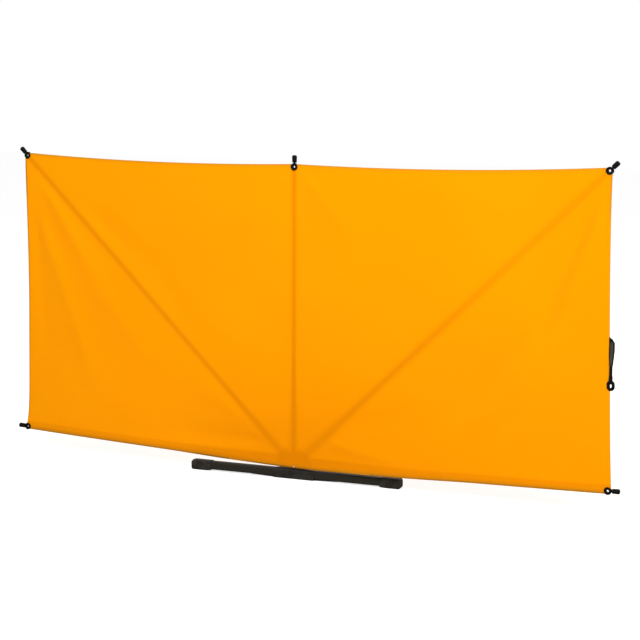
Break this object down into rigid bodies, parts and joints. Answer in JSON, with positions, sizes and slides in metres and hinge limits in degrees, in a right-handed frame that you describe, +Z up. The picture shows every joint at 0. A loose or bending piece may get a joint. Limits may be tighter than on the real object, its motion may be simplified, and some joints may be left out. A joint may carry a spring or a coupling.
{
  "type": "fan-fold privacy screen",
  "caption": "Free-standing privacy and wind screen: one orange cloth sheet held open by ribs that fan out of a hinged hub on a foot bar.",
  "frame": {"origin": "on the ground, under the middle of the saddle on the foot bar", "axes": "+Z up, +X along the screen to the viewer's right, the cloth's front faces -Y"},
  "size_m": [3.3082, 0.1194, 1.6291],
  "materials": {
    "cloth": "plain woven polyester, coated, matt, slightly see-through",
    "webbing": "woven webbing",
    "bar_paint": "dark powder coat, satin",
    "rib_tube": "drawn tube, dull",
    "pin_steel": "turned pin",
    "hub_moulding": "moulded nylon, fine spark texture",
    "tip_moulding": "moulded nylon, satin"
  },
  "bodies": {
    "root": {"foot_bar": "bar_paint", "left_foot_cap": "tip_moulding", "right_foot_cap": "tip_moulding", "saddle": "hub_moulding", "hub_front_plate": "hub_moulding", "hub_back_plate": "hub_moulding", "centre_socket": "hub_moulding", "centre_rib": "rib_tube", "centre_eye": "tip_moulding", "centre_tip": "tip_moulding", "centre_sleeve": "cloth", "left_high_panel": "cloth", "right_high_panel": "cloth"},
    "left_diag_arm": {"left_hinge_pin": "pin_steel", "left_diag_knuckle": "hub_moulding", "left_diag_rib": "rib_tube", "left_diag_eye": "tip_moulding", "left_diag_tip": "tip_moulding", "left_diag_sleeve": "cloth"},
    "left_low_arm": {"left_low_fork": "hub_moulding", "left_low_rib": "rib_tube", "left_low_eye": "tip_moulding", "left_low_tip": "tip_moulding", "left_low_sleeve": "cloth", "left_low_panel": "cloth"},
    "right_diag_arm": {"right_hinge_pin": "pin_steel", "right_diag_knuckle": "hub_moulding", "right_diag_rib": "rib_tube", "right_diag_eye": "tip_moulding", "right_diag_tip": "tip_moulding", "right_diag_sleeve": "cloth"},
    "right_low_arm": {"right_low_fork": "hub_moulding", "right_low_rib": "rib_tube", "right_low_eye": "tip_moulding", "right_low_tip": "tip_moulding", "right_low_sleeve": "cloth", "right_low_panel": "cloth", "side_strap": "webbing", "strap_ring": "tip_moulding"}
  },
  "joints": [
    {"name": "left_diag_fold", "type": "hinge", "parent": "root", "child": "left_diag_arm", "pos_m": [-0.052, 0, 0.092], "axis": [0, 1, 0], "range_deg": [0, 46.05], "deforming": ["left_high_panel"]},
    {"name": "left_low_fold", "type": "hinge", "parent": "left_diag_arm", "child": "left_low_arm", "pos_m": [-0.052, 0, 0.092], "axis": [0, 1, 0], "range_deg": [0, 42.36], "deforming": ["left_low_panel"]},
    {"name": "right_diag_fold", "type": "hinge", "parent": "root", "child": "right_diag_arm", "pos_m": [0.052, 0, 0.092], "axis": [0, -1, 0], "range_deg": [0, 46.05], "deforming": ["right_high_panel"]},
    {"name": "right_low_fold", "type": "hinge", "parent": "right_diag_arm", "child": "right_low_arm", "pos_m": [0.052, 0, 0.092], "axis": [0, -1, 0], "range_deg": [0, 42.36], "deforming": ["right_low_panel", "side_strap", "strap_ring"]}
  ]
}
